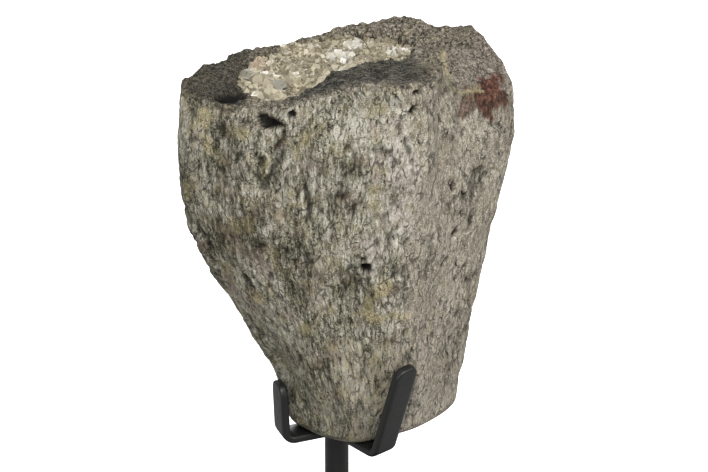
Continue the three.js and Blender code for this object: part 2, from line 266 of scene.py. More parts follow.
def noise(points, size, seed=0):
    """Gradient noise of about -1 to 1. size is the width of one bump along x, y and z, in mm.

    Each corner of a lattice has a direction drawn from a hash of its place. The value at a point is
    the dot product with the eight corners round it, blended by 6t^5 - 15t^4 + 10t^3.
    """
    scaled = points / np.asarray(size, float)
    corner = np.floor(scaled).astype(np.int64)
    inside = scaled - corner
    fade = inside**3 * (inside * (inside * 6 - 15) + 10)
    total = np.zeros(points.shape[:-1])
    for step in np.ndindex(2, 2, 2):
        share = np.where(step, fade, 1 - fade).prod(axis=-1)
        total += share * ((inside - step) * (2 * scatter(corner + step, seed) - 1)).sum(axis=-1)
    return total * 1.3


def plates(points, size, seed=0):
    """Cells like those of cracked mud. Each box of a lattice holds one scattered seed point. A point
    belongs to the nearest seed. Returns how much further the second seed is, which is 0 on the
    cracks between cells, and a number of 0 to 1 of the cell's own."""
    scaled = points / np.asarray(size, float)
    corner = np.floor(scaled).astype(np.int64)
    nearest, second = np.full(scaled.shape[:-1], 9.0), np.full(scaled.shape[:-1], 9.0)
    own = np.zeros(scaled.shape[:-1])
    for step in np.ndindex(3, 3, 3):
        box = corner + np.array(step) - 1
        place = scatter(box, seed)
        away = np.linalg.norm(scaled - box - place, axis=-1)
        closer = away < nearest
        second = np.where(closer, nearest, np.minimum(second, away))
        own = np.where(closer, place[..., 0], own)
        nearest = np.where(closer, away, nearest)
    return second - nearest, own


def rough(points, size, octaves, seed=0):
    """Octaves of noise added up, each half as wide and half as high as the one before."""
    return sum(noise(points, np.asarray(size, float) / 2**k, seed + k) / 2**k for k in range(octaves))


# %% [markdown]
# ## The bone
#
# A long bone is a tube whose section changes slowly along its length, so it can be drawn as a few
# ridges that run from end to end, with a smooth section through them at each height. Sculpting by
# hand would also work, but ten ridges can be measured and corrected. The solids in the CAD source
# use the same ridges, and here they carry a much finer grid.

# %% Ridges of the bone
STATION_STEP = 25.0
RIDGES = np.array([
    [[-14.5, 0], [-23.8, -1], [-34.6, -4], [-46, -5], [-48, -5], [-47, -4]],
    [[-9.5, -9], [-17, -10.5], [-29, -13], [-40, -14.5], [-42, -14.5], [-40.5, -13]],
    [[-2, -14.5], [-8, -19], [-16, -21.5], [-24, -23.5], [-27, -23.5], [-25, -22.5]],
    [[6, -17], [5, -23], [1, -26], [-2, -27.5], [-2, -27.5], [0, -26.5]],
    [[14.6, -13.8], [19, -22], [20, -24.5], [22, -25.5], [24, -25], [25, -24]],
    [[28, -6], [32, -8.5], [33, -8], [36, -7], [38, -6], [36.5, -6]],
    [[40, 11], [43, 12], [47, 13], [52, 13], [57, 14], [54, 16]],
    [[33, 25], [36, 27], [40, 29], [44, 31], [47, 32], [45.5, 30]],
    [[14, 25], [13, 28], [11, 31], [10, 34], [10, 36.5], [10, 38]],
    [[-3, 14], [-11, 16], [-18, 18], [-26, 20], [-29, 22], [-28, 23]],
])
AXIS_LOW, AXIS_HIGH = np.array([12.0, 6.0]), np.array([-2.0, 10.0])
ROUND_LOW, ROUND_HIGH = 3.6, 2.2
SHELF = 120.8


def ridge_at(index, height):
    """Plan points of ridges at heights: Catmull-Rom along each ridge through its stations."""
    last = RIDGES.shape[1] - 1
    place = np.clip(height / STATION_STEP, 0, last - 1e-6)
    i = np.floor(place).astype(int)
    corners = [RIDGES[index % len(RIDGES), np.clip(i + k, 0, last)] for k in (-1, 0, 1, 2)]
    return spline(*corners, (place - i)[..., None])


def section_at(place, height):
    """Plan points of the outline at a height and a place, counted in ridges from the left edge."""
    i = np.floor(place).astype(int)
    return spline(*(ridge_at(i + k, height) for k in (-1, 0, 1, 2)), (place - i)[..., None])


def axis_at(height):
    return AXIS_LOW + np.clip(height / SHELF, 0, 1)[..., None] * (AXIS_HIGH - AXIS_LOW)


def even_places(curve, count, total):
    """Places along a closed curve that divide it into equal lengths."""
    fine = np.linspace(0, total, 2001)
    points = curve(fine)
    walked = np.concatenate([[0], np.cumsum(np.linalg.norm(np.diff(points, axis=0), axis=1))])
    return np.interp(np.arange(count) / count * walked[-1], walked, fine)


# %% Broken top: shelf, plateau, back rim and scar
PLATEAU_RISE = 7.6
BACK_RIM = np.array([
    [-50, -2, 2.4], [-43, 8, 2.2], [-36, 15, 0.6], [-24, 24, 1.2], [-11, 33, 1.9], [1, 37, 3.8],
    [12, 38, 5.4], [23, 38, 7.2], [33, 35, 5], [40, 32, 4.6], [46, 29, 6.2], [55, 18, 6.2],
])
SCAR_AT, SCAR_HEIGHT, SCAR_FALL, SCAR_RISE, SCAR_BLEND = (44.2, 2.0), 116.3, 0.813, 0.407, 1.6
SCAR_FRONT, SCAR_FRONT_RISE = -4.0, 1.5


def scar_height(x, y):
    """A slope that falls to the right, and rises steeply in front so it ends before the ridge."""
    slope = SCAR_HEIGHT - SCAR_FALL * (x - SCAR_AT[0]) + SCAR_RISE * (y - SCAR_AT[1])
    return slope + SCAR_FRONT_RISE * np.maximum(0, SCAR_FRONT - y)


def crest_line(x):
    """Plan y of the plateau's back edge, which runs obliquely to the right and back."""
    return np.minimum(-16 + 0.42 * (x + 14), -3)


def unscarred_height(x, y):
    """A level shelf, raised to a plateau at the front and right, and to the back rim behind."""
    front = smooth(-24, 10, x) * (1 - smooth(0, 4.5, y - crest_line(x)))
    side = smooth(17, 26, x) * (1 - smooth(8, 24, y))
    plateau = SHELF + PLATEAU_RISE * (1 - (1 - front) * (1 - side))
    rim_y, rise = np.interp(x, *BACK_RIM.T[:2]), np.interp(x, BACK_RIM[:, 0], BACK_RIM[:, 2])
    return np.maximum(plateau, SHELF + rise * smooth(-15, -1, y - rim_y))


def top_height(x, y):
    """The smaller of the unbroken top and the scar, with the corner between them rounded."""
    a, b = unscarred_height(x, y), scar_height(x, y)
    near = np.clip(0.5 + 0.5 * (b - a) / SCAR_BLEND, 0, 1)
    return b + (a - b) * near - SCAR_BLEND * near * (1 - near) / 2


# %% Swellings and worn hollows
DENTS = [
    ([-20, -8, 20], [11, 11, 15], [0.92, 0.38, 0], 4.2),
    ([31, -12, 112], [9, 9, 26], [-0.8, 0.6, 0], 2.6),
    ([-27, -26, 120], [13, 9, 8], [0, 0.7, -0.7], 4.0),
    ([-52, -2, 64], [9, 12, 7], [1, 0, 0], 1.2),
    ([50, 8, 62], [10, 12, 9], [-1, 0, 0], 1.8),
    ([-10, 38, 60], [26, 14, 34], [0.2, -1, 0], 4.0),
    ([-40, 14, 92], [14, 14, 24], [0.6, -0.8, 0], 3.0),
]


def swelling(x, y, z):
    """Low swellings in millimetres: a product of broad sine waves plus a product of finer ones."""
    broad = np.sin(x / 9.1 + z / 17 + 1.3) * np.sin(y / 8.3 - z / 23 + 0.4)
    fine = np.sin(x / 4.3 - 0.7) * np.sin(z / 7.7 + y / 5.9 + 2.1)
    return 0.7 * broad + 0.35 * fine


def nearness(points, centre, radius):
    """1 at a centre, falling smoothly to 0 at an ellipsoid round it."""
    away = (points - np.array(centre, float)) / np.array(radius, float)
    return 1 - smooth(0, 1, np.linalg.norm(away, axis=-1))


def dented(points):
    moved = points.copy()
    for centre, radius, way, depth in DENTS:
        unit = np.array(way, float) / np.linalg.norm(way)
        moved += depth * nearness(points, centre, radius)[..., None] * unit
    return moved


# %% The hollow of the top
HOLLOW_CENTRE = np.array([-3.0, 11.0])
HOLLOW_OUTLINE = np.array([
    [-30, 4], [-28.5, -9], [-21, -19], [-9, -16.5], [2, -7], [13, 0.5], [24, 11], [28.5, 21],
    [19, 30], [3, 32], [-12, 28], [-24, 17],
])
CRUST_TOP = 119.6


def hollow_curve(place):
    i = np.floor(place).astype(int)
    corners = [HOLLOW_OUTLINE[(i + k) % len(HOLLOW_OUTLINE)] for k in (-1, 0, 1, 2)]
    return spline(*corners, (place - i)[..., None])


def hollow_reach(x, y):
    """How far a plan point is from the hollow's centre, as a share of the way to its outline."""
    outline = hollow_curve(np.linspace(0, len(HOLLOW_OUTLINE), 721)[:-1]) - HOLLOW_CENTRE
    angles = np.arctan2(outline[:, 1], outline[:, 0])
    order = np.argsort(angles)
    away = np.stack([x, y], axis=-1) - HOLLOW_CENTRE
    reach = np.interp(np.arctan2(away[..., 1], away[..., 0]), angles[order],
                      np.linalg.norm(outline, axis=1)[order], period=2 * math.pi)
    return np.linalg.norm(away, axis=-1) / reach


def crust_height(x, y):
    lumps = 0.7 * np.sin(x / 2.9 + y / 7) * np.sin(y / 2.6 - x / 9)
    return CRUST_TOP + 0.03 * (y - 5) + 1.6 * smooth(14, 30, y) + lumps


# %% The bone's grid
AROUND = 436
FOOT_ROWS, TURN_ROWS, SIDE_ROWS, RIM_ROWS, TOP_ROWS = 8, 5, 148, 5, 60

places = even_places(lambda p: section_at(p, np.full(len(p), 100.0)), AROUND, len(RIDGES))


def side_points(heights, insets, levels, swell):
    """Points of the skin: the section at a height, moved towards the axis by an inset."""
    wide = np.broadcast_to(places, heights.shape)
    outline, axis = section_at(wide, heights), axis_at(heights)
    away = outline - axis
    reach = np.linalg.norm(away, axis=-1)
    grow = (reach - insets + swell * swelling(outline[..., 0], outline[..., 1], heights)) / reach
    plan = axis + away * grow[..., None]
    return np.concatenate([plan, levels[..., None]], axis=-1)


def bone_rings():
    """Rings from the foot's middle, over the side and the rim, to the middle of the top."""
    level = np.zeros((1, AROUND))
    rim_plan = section_at(places, np.full(AROUND, SHELF))
    rim = top_height(rim_plan[:, 0], rim_plan[:, 1])[None]

    foot_reach = np.linalg.norm(section_at(places, level[0]) - AXIS_LOW, axis=-1)
    share = (np.arange(1, FOOT_ROWS + 1) / FOOT_ROWS)[:, None]
    floor_level = share * 0 + level
    foot = side_points(floor_level, foot_reach - (foot_reach - ROUND_LOW) * share, floor_level, 0)

    turn = (np.arange(1, TURN_ROWS + 1) / TURN_ROWS * math.pi / 2)[:, None]
    heights = ROUND_LOW * (1 - np.cos(turn)) + level
    corner = side_points(heights, ROUND_LOW * (1 - np.sin(turn)) + level, heights, 1 - np.cos(turn))

    share = (np.arange(1, SIDE_ROWS + 1) / SIDE_ROWS)[:, None]
    heights = ROUND_LOW + (rim - ROUND_HIGH - ROUND_LOW) * share
    side = side_points(heights, heights * 0, heights, 1)

    turn = (np.arange(1, RIM_ROWS + 1) / RIM_ROWS * math.pi / 2)[:, None]
    below = rim - ROUND_HIGH + turn * 0
    insets = ROUND_HIGH * (1 - np.cos(turn)) + level
    rounding = side_points(below, insets, below + ROUND_HIGH * np.sin(turn), 1)

    keep = 1 - (np.arange(1, TOP_ROWS) / TOP_ROWS)[:, None, None]
    plan = AXIS_HIGH + (rounding[-1, :, :2] - AXIS_HIGH) * keep
    x, y = plan[..., 0], plan[..., 1]
    z = top_height(x, y) + 0.8 * swelling(y, x, 40)
    top = np.concatenate([plan, z[..., None]], axis=-1)
    return dented(np.concatenate([foot, corner, side, rounding, top]))


rings = bone_rings()
print("bone grid:", rings.shape[0], "rings of", rings.shape[1], "points")


# %% [markdown]
# ## Relief of the bone
#
# Weathering follows the grain of the bone. The fibres run along its length, so splits, flakes and
# pits are long and narrow, and the broken top is spongy. A texture that only shades would fall flat
# at the outline, so everything deeper than a tenth of a millimetre is moved geometry. Each pattern
# is stretched noise whose places follow the ridges, so the grain narrows with the bone.


# %% Normals and the grain's own coordinates
def ring_normals(grid):
    """Outward directions: the cross product of the way around and the way up."""
    around = np.roll(grid, -1, axis=1) - np.roll(grid, 1, axis=1)
    up = np.gradient(grid, axis=0)
    normal = np.cross(around, up)
    return normal / (np.linalg.norm(normal, axis=-1, keepdims=True) + 1e-9)


def grain_points(grid):
    """Points moved half of the way to where their ridge runs at height 100, so grain follows it."""
    upright = section_at(places, np.full(AROUND, 100.0))
    leaning = grid.copy()
    row = np.arange(len(grid))[:, None]
    on_side = smooth(1, 3, grid[..., 2]) * (1 - smooth(-0.5, 0.5, row - RIM_START))
    leaning[..., :2] += 0.5 * on_side[..., None] * (upright[None] - grid[..., :2])
    return leaning


RIM_START = FOOT_ROWS + TURN_ROWS + SIDE_ROWS + RIM_ROWS - 1
normals = ring_normals(rings)
grain = grain_points(rings)
x, y, z = np.moveaxis(rings, -1, 0)
upward = smooth(0.35, 0.85, normals[..., 2])
above_foot = smooth(4, 12, z)
in_hollow = upward * (1 - smooth(0.9, 1.02, hollow_reach(x, y))) * smooth(100, 110, z)
print("upward share:", round(float(upward.mean()), 2))


# %% Splits, pits and flakes
def near_line(points, line, width):
    """1 on a line of points, falling smoothly to 0 at a width from it."""
    best = np.full(points.shape[:-1], 1e9)
    for start, end in zip(line[:-1], line[1:]):
        along = end - start
        share = np.clip(((points - start) @ along) / (along @ along), 0, 1)
        best = np.minimum(best, np.linalg.norm(points - start - share[..., None] * along, axis=-1))
    return 1 - smooth(0, width, best)


def wandering(points, size, reach, seed):
    """Points moved about by noise in x, y and z, which makes straight edges ragged."""
    return points + reach * np.stack([rough(points, size, 2, seed + 10 * k) for k in range(3)], axis=-1)


side_part = (1 - upward) * above_foot
ragged_grain = wandering(grain, [5, 5, 9], 1.5, 200)
big_gap, big_own = plates(ragged_grain, [6.0, 6.0, 13.0], 11)
small_gap, small_own = plates(ragged_grain, [2.7, 2.7, 5.6], 12)
weathered = smooth(-0.25, 0.45, noise(grain, [13, 13, 20], 33))
big_cracks = (1 - smooth(0.01, 0.13, big_gap)) * weathered
small_cracks = (1 - smooth(0.0, 0.22, small_gap)) * (0.35 + 0.65 * weathered)
lumps = 0.9 * rough(rings, [13, 13, 22], 2, 3)
flakes = rough(ragged_grain, [3.8, 3.8, 9], 3, 21)
pit_noise = noise(ragged_grain, [2.2, 2.2, 4.2], 41) + 0.25 * noise(rings, [12, 12, 16], 43)
pits = smooth(0.36, 0.55, pit_noise)
spongy = rough(rings, [3.0, 3.0, 3.0], 3, 61)
crumbs = rough(rings, [1.6, 1.6, 1.6], 2, 65)
ledges = np.floor(rough(wandering(rings, [6, 6, 6], 2, 300), [12, 7, 30], 2, 71) * 4) / 4

HOLLOW_DEPTH = 5.5
PITS = [
    # centre, size across, through and up, depth
    ([-19.8, -25, 115.6], [5.6, 6, 1.9], 3.6),
    ([-22.5, -24, 117.0], [3.0, 6, 1.8], 2.4),
    ([-12.9, -26.5, 119.0], [1.9, 5, 2.0], 3.0),
    ([23.6, -26.5, 120.0], [1.9, 5, 2.2], 3.2),
    ([24.6, -24, 125.6], [1.6, 4, 1.7], 2.2),
    ([9.6, -29, 68.6], [1.8, 5, 2.7], 3.0),
    ([8.6, -29, 71.8], [1.2, 5, 1.3], 1.4),
    ([38, -6, 70], [1.8, 5, 3.0], 1.8),
    ([36.5, -8, 87], [1.5, 5, 4.0], 1.5),
    ([34.5, -8, 61.6], [2.4, 5, 2.2], 1.6),
    ([38.5, -4, 52], [1.4, 5, 2.4], 1.4),
    ([-32, -15, 121.5], [7, 5, 5], 2.4),
]
CLEFTS = [
    # points of a line, half width, depth
    ([[27, -12, 128.6], [28.8, -20.5, 126.6], [31, -15.5, 119], [32.2, -11.5, 114.6],
      [32.6, -11, 107]], 0.9, 1.0),
    ([[-15.3, -26, 114], [-16, -26, 110.5], [-17.8, -26, 108]], 1.3, 1.3),
    ([[-16, -26.5, 106.5], [-19.1, -26, 101.1], [-22.3, -25.5, 94.5]], 1.5, 1.3),
    ([[-9.3, -28, 96.5], [-8, -28, 90.3], [-8.9, -28, 84.5]], 1.7, 1.4),
    ([[-18, -26, 73.6], [-15.3, -26, 69.3], [-12.0, -26.5, 70.8]], 1.1, 0.9),
    ([[-43.5, -13, 75], [-38.7, -15, 67]], 1.7, 1.2),
    ([[-28.9, -19, 61.8], [-27.0, -19.5, 58.2]], 1.6, 1.5),
    ([[-43.8, -12.5, 116], [-44.5, -12.5, 103]], 1.1, 1.0),
    ([[21.5, -27, 111.5], [22.6, -27, 107], [25.2, -26, 102.5]], 1.3, 1.3),
    ([[5.2, -27.5, 106], [4.3, -27.7, 99]], 1.0, 0.9),
    ([[9.1, -29, 88.5], [7.5, -29, 84.5], [6.3, -29, 81]], 1.0, 0.8),
    ([[-37, -17, 118.2], [-30, -21, 117.8], [-24, -24, 117.6]], 1.0, 1.2),
    ([[40, -3, 84], [42.2, -1.5, 78]], 1.2, 1.0),
]
named_pits = np.zeros(rings.shape[:2])
ragged = wandering(rings, [3, 3, 4], 0.8, 400)
for centre, size, depth in PITS:
    inside = smooth(0.12, 0.5, nearness(ragged, centre, np.array(size) * 1.15))
    named_pits = np.maximum(named_pits, depth * inside)
clefts = np.zeros(rings.shape[:2])
for line, width, depth in CLEFTS:
    clefts = np.maximum(clefts, depth * near_line(ragged, np.array(line, float), width * 1.2))

relief = above_foot * lumps
relief += side_part * (0.6 * (big_own - 0.5) * weathered + 0.28 * (small_own - 0.5) + 0.34 * flakes)
relief -= side_part * (0.65 * big_cracks + 0.28 * small_cracks + 0.65 * pits)
relief += upward * (1 - in_hollow) * (0.9 * spongy + 0.45 * crumbs + 0.9 * ledges)
relief -= named_pits + clefts
relief -= in_hollow * HOLLOW_DEPTH
skin = rings + normals * relief[..., None]
print("relief from", round(float(relief.min()), 2), "to", round(float(relief.max()), 2), "mm")


# %% Where the colours change
def spot(centre, radius, ragged=0.35, seed=5):
    """A soft patch with a ragged edge: nearness plus noise, cut to 0 to 1."""
    near = nearness(rings, centre, radius)
    return smooth(0.28, 0.62, near + ragged * rough(rings, [5, 5, 7], 2, seed) * smooth(0, 0.15, near))


hollows = side_part * np.clip(0.75 * big_cracks + 0.4 * small_cracks + 0.7 * pits, 0, 1)
hollows = np.clip(hollows + smooth(0.3, 0.9, clefts), 0, 1)
on_top = smooth(0.25, 0.7, normals[..., 2]) * smooth(100, 108, z)
up_to_crest = (y + 26.5) / (crest_line(x) + 26.5)
left_of_crust, behind_crest = 1 - smooth(-29, -24, x), y - crest_line(x)
SCAR_EDGE = np.array([
    [33.3, 8, 126.6], [33.4, 4, 126], [34, -0.5, 123.6], [36.3, -6, 120.4], [40, -2, 117.2],
    [43.5, 2, 116], [46, 4, 115.4],
])
beside_scar = near_line(ragged, SCAR_EDGE - [2, 1, 0], 4.0)

masks = {
    "hollows": hollows,
    "pits": smooth(0.6, 1.6, named_pits),
    "top": on_top,
    "shelf": on_top * left_of_crust * (0.75 + 0.25 * nearness(rings, [-31, -12, 121], [12, 14, 8])),
    # The next mask paints shade on the slope of the plateau under the crust's edge, fading out towards
    # the front rim.
    "bevel_painted_shade": on_top * smooth(-20, -6, x) * (1 - smooth(19, 27, x + 0.3 * y))
    * smooth(0.0, 0.35, up_to_crest) * (1 - smooth(5, 8, behind_crest)),
    # The next mask makes the front-right ridge paler: partly pale stone, partly a painted highlight.
    "ridge": spot([20, -26, 100], [9, 14, 34], 0.5, 6) + 0.8 * spot([11, -28, 76], [8, 12, 16], 0.5, 7),
    "olive": np.maximum(spot([30, -6, 125], [10, 17, 9], 0.4, 8), 0.7 * beside_scar),
    "scar": on_top * smooth(35, 38, x) * smooth(-0.6, 0.6, unscarred_height(x, y) - scar_height(x, y)),
    "rim": near_line(ragged, SCAR_EDGE, 1.3),
    "stain": np.maximum(spot([50, 6, 112.5], [12, 14, 11], 0.6, 9),
                        0.75 * spot([43.5, 0, 113.5], [11, 10, 7.5], 0.8, 19)),
    "cream": spot([15, -27, 61], [6, 9, 5.5], 1.2, 10) + spot([15, -26, 51], [13, 9, 4], 1.4, 12)
    + spot([-26, -19, 55], [5, 7, 4], 1.4, 13) + spot([-41, -16, 108], [7, 6, 12], 1.2, 15),
    # The next mask makes faces turned to the right paler: partly their own tone, partly painted light.
    "side": smooth(0.1, 0.75, normals[..., 0]) * (1 - on_top),
    "brown": spot([-7, -27, 66], [12, 9, 12], 0.8, 14),
    "shade": 0.9 * spot([-31, -18, 84], [17, 14, 34], 0.9, 16)
    + 0.8 * spot([-6, -27, 98], [17, 10, 20], 0.9, 17),
    # The next mask is painted light: it makes the lower front paler, as if lit from below.
    "lower_front_painted_light": spot([8, -24, 26], [34, 14, 30], 0.6, 18),
}

# %% Build the bone
south = np.array([*AXIS_LOW, 0.0])
north = np.array([*AXIS_HIGH, float(skin[-1, :, 2].mean())])
points, faces = closed_rings(skin, south, north)
bone = make_piece("fossil_bone", points + [0, 0, BONE_FOOT], faces)
for name, values in masks.items():
    give_attribute(bone, name, np.clip(np.concatenate([[0], values.ravel(), [values[-1].mean()]]), 0, 1))
grain_all = np.concatenate([[grain[0].mean(axis=0)], grain.reshape(-1, 3), [grain[-1].mean(axis=0)]])
bone.data.attributes.new("grain", "FLOAT_VECTOR", "POINT").data.foreach_set("vector", grain_all.ravel())
print("bone triangles:", len(faces))


# %% [markdown]
# ## Finish of the bone
#
# The stone is olive grey, and each fibre is its own tone from nearly black to pale grey, so a
# single colour looks like clay. Stretched noises give the fibres, cells give the splits and pores,
# and the named patches that were stored on the mesh tint it: the pale ridge with its painted
# highlight, the red-brown stain, the cream crusts and the dark broken shelf. Other patches paint
# shade on the slope under the crust's edge, light on the lower front, and in part light on the
# faces turned to the right.


# %% Bone material
def bone_material():
    shader = Shader("fossil bone")
    place = shader.attribute("grain", "Vector")
    short = shader.place(place, (1.0, 1.0, 0.42))
    long = shader.place(place, (1.0, 1.0, 0.2))
    warp = shader.noise(place, 0.5, 2.0, 0.5, output=1)
    bent = shader.node(
        "ShaderNodeVectorMath", {"operation": "MULTIPLY_ADD"}, {0: warp, 1: (1.6, 1.6, 0.8), 2: short})
    fibre = shader.noise(long, 0.75, 4.0, 0.65)
    dash = shader.noise(short, 1.25, 3.0, 0.7)
    grit = shader.noise(place, 2.3, 2.0, 0.7)
    patch = shader.noise(place, 0.21, 3.0, 0.6)
    cloud = shader.noise(place, 0.06, 3.0, 0.55)
    splits = shader.cells(bent, 0.34, "DISTANCE_TO_EDGE").over(0.075, 0.0) * patch.over(0.4, 0.6)
    fine_splits = shader.cells(bent, 0.85, "DISTANCE_TO_EDGE").over(0.14, 0.0) * dash.over(0.38, 0.6)
    tone = fibre * 0.75 + dash * 0.9 + grit * 0.85 + patch * 0.6 + cloud * 0.8 - 1.45
    deep, dark = linear(44, 42, 31), linear(88, 84, 67)
    middle, pale, chalk = linear(134, 130, 112), linear(172, 167, 151), linear(200, 196, 182)
    base = shader.mix(tone.over(0.24, 0.38), deep, dark)
    base = shader.mix(tone.over(0.33, 0.47), base, middle)
    base = shader.mix(tone.over(0.46, 0.61), base, pale)
    base = shader.mix(tone.over(0.60, 0.78), base, chalk)
    yellow = shader.noise(place, 0.16, 3.0, 0.6).over(0.5, 0.68)
    base = shader.mix(yellow * 0.42, base, linear(160, 147, 104))
    rosy = shader.noise(place, 0.11, 2.0, 0.6).over(0.52, 0.68)
    base = shader.mix(rosy * 0.4, base, linear(130, 111, 102))
    # Faces turned to the right get a paler colour: partly their own tone, partly painted light.
    side_tone = (grit + dash - 0.5).over(0.25, 0.75)
    right_face_tone_and_light = shader.mix(side_tone, linear(118, 109, 92), linear(204, 195, 180))
    base = shader.mix(shader.attribute("side") * 0.65, base, right_face_tone_and_light)
    # The front-right ridge gets a paler colour: partly pale stone, partly a painted highlight.
    ridge_tone_and_highlight = shader.mix(dash.over(0.3, 0.65), linear(132, 124, 112), linear(208, 199, 190))
    base = shader.mix(shader.attribute("ridge") * patch.over(0.3, 0.55) * 0.7, base, ridge_tone_and_highlight)
    brown = shader.attribute("brown") * fibre.over(0.35, 0.65)
    base = shader.mix(brown * 0.4, base, linear(100, 86, 70))
    base = shader.mix(shader.attribute("shade") * fibre.over(0.62, 0.4) * 0.5, base, linear(54, 49, 37))
    # Painted light: the lower front is made paler, as if lit from below.
    lower_front_painted_light = shader.attribute("lower_front_painted_light") * fibre.over(0.35, 0.6)
    base = shader.mix(lower_front_painted_light * 0.45, base, linear(176, 166, 144))
    cream = shader.attribute("cream") * grit.over(0.35, 0.55)
    base = shader.mix(cream * 0.7, base, linear(192, 178, 138))
    top_colour = shader.mix(grit.over(0.3, 0.7), linear(66, 58, 45), linear(168, 158, 142))
    base = shader.mix(shader.attribute("top") * 0.7, base, top_colour)
    olive = shader.mix(dash.over(0.3, 0.7), linear(92, 87, 68), linear(158, 151, 130))
    base = shader.mix(shader.attribute("olive") * 0.7, base, olive)
    scar = shader.mix(grit.over(0.3, 0.7), linear(112, 102, 92), linear(172, 163, 150))
    base = shader.mix(shader.attribute("scar") * 0.8, base, scar)
    speck = shader.noise(place, 0.9, 4.0, 0.72)
    strata = shader.noise(shader.place(place, (0.22, 1.2, 1.2)), 0.9, 3.0, 0.6)
    top = shader.attribute("top")
    base = shader.mix(top * speck.over(0.52, 0.38) * 0.85, base, linear(32, 28, 21))
    base = shader.mix(top * strata.over(0.5, 0.38) * 0.45, base, linear(50, 44, 33))
    base = shader.mix(top * speck.over(0.56, 0.72) * 0.5, base, linear(176, 166, 148))
    shelf = shader.mix((grit + speck - 0.5).over(0.4, 0.72), linear(12, 11, 8), linear(84, 79, 65))
    base = shader.mix(shader.attribute("shelf") * 0.95, base, shelf)
    # Painted shade: a dark band on the slope under the crust's edge.
    bevel_painted_shade = shader.mix((grit + strata - 0.5).over(0.4, 0.72), linear(24, 24, 21), linear(106, 102, 91))
    base = shader.mix(shader.attribute("bevel_painted_shade") * 0.95, base, bevel_painted_shade)
    stain = shader.mix((dash + speck - 0.5).over(0.3, 0.75), linear(46, 22, 17), linear(120, 76, 60))
    base = shader.mix(shader.attribute("stain") * 0.95, base, stain)
    base = shader.mix(shader.attribute("rim") * 0.8, base, linear(182, 170, 132))
    base = shader.mix(splits * 0.7, base, linear(40, 37, 28))
    base = shader.mix(fine_splits * 0.3, base, linear(52, 49, 38))
    pores = shader.cells(bent, 0.62).over(0.26, 0.13) * patch.over(0.38, 0.56)
    base = shader.mix(pores * 0.75, base, linear(32, 30, 22))
    base = shader.mix(shader.attribute("hollows") * 0.78, base, linear(28, 26, 19))
    base = shader.mix(shader.attribute("pits") * 0.95, base, linear(14, 13, 10))
    height = fibre * 0.5 + dash * 0.6 + grit * 0.6 - splits * 0.5 - pores * 0.4
    return shader.finish(
        Base_Color=base, Roughness=0.85, Specular_IOR_Level=0.25,
        Normal=shader.bump(height, 0.8, 0.0012),
    )


bone.data.materials.append(bone_material())
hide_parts("metatarsal_bone")
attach(bone, "root")

# %% [markdown]
# ## The crystal crust
#
# Calcite breaks into skewed blocks with flat faces. In the hollow they lie in a sandy bed: some
# large ones in white clusters, and thousands of grains. A noise on the bed alone would look soft,
# so each crystal is a real block of twelve triangles, drawn with a fixed seed.

# %% Sandy bed of the crust
BED_AROUND, BED_ROWS = 240, 90
CRUST_FLOOR = 116.0


def crust_bed():
    """A closed bed: rings shrink from the hollow's outline to its centre, at the crust's height."""
    outline = hollow_curve(even_places(hollow_curve, BED_AROUND, len(HOLLOW_OUTLINE)))
    away = outline - HOLLOW_CENTRE
    share = np.concatenate([[1.0], np.linspace(1.03, 0.012, BED_ROWS)])[:, None, None]
    plan = HOLLOW_CENTRE + away * share
    px, py = plan[..., 0], plan[..., 1]
    grid = np.concatenate([plan, crust_height(px, py)[..., None]], axis=-1)
    rough_bed = 0.55 * rough(grid, [3.2, 3.2, 3.2], 4, 101) + 0.25 * noise(grid, 1.1, 107)
    edge = smooth(0.93, 1.04, share[..., 0])
    grid[..., 2] += rough_bed - 1.2 * edge
    grid[0, :, 2] = CRUST_FLOOR
    return grid


bed = crust_bed()
bed_points, bed_faces = closed_rings(
    bed, np.array([*HOLLOW_CENTRE, CRUST_FLOOR]), np.array([*HOLLOW_CENTRE, bed[-1, :, 2].mean()]))

# %% Calcite blocks
CUBE = np.array([[sx, sy, sz] for sz in (-0.5, 0.5) for sy in (-0.5, 0.5) for sx in (-0.5, 0.5)])
CUBE_FACES = np.array([
    [0, 2, 3], [0, 3, 1], [4, 5, 7], [4, 7, 6], [0, 1, 5], [0, 5, 4],
    [2, 6, 7], [2, 7, 3], [0, 4, 6], [0, 6, 2], [1, 3, 7], [1, 7, 5],
])
CREAM, WHITE, GREY = (190, 181, 158), (214, 210, 199), (150, 147, 137)
PINK, BEIGE, BROWN = (194, 172, 150), (164, 154, 130), (104, 95, 77)
CLUSTERS = [
    # plan centre, radius, how many, size, colour
    ([1.5, 18.5], 3.8, 26, 2.0, WHITE),
    ([5.5, 27], 3.0, 12, 1.8, WHITE),
    ([19.5, 23], 3.6, 16, 1.6, WHITE),
    ([-24.5, 14], 2.2, 12, 2.2, PINK),
    ([-27.5, 3], 1.8, 6, 2.6, GREY),
    ([-18.5, -4.5], 1.4, 5, 3.2, GREY),
    ([-23, 2], 4.5, 16, 2.8, CREAM),
    ([-20, -12], 4.0, 14, 2.4, CREAM),
    ([-8, 4], 7.0, 16, 1.9, CREAM),
    ([8, 10], 6.0, 20, 1.8, CREAM),
]
SCATTER_COUNT = 2600
draw = np.random.default_rng(7)


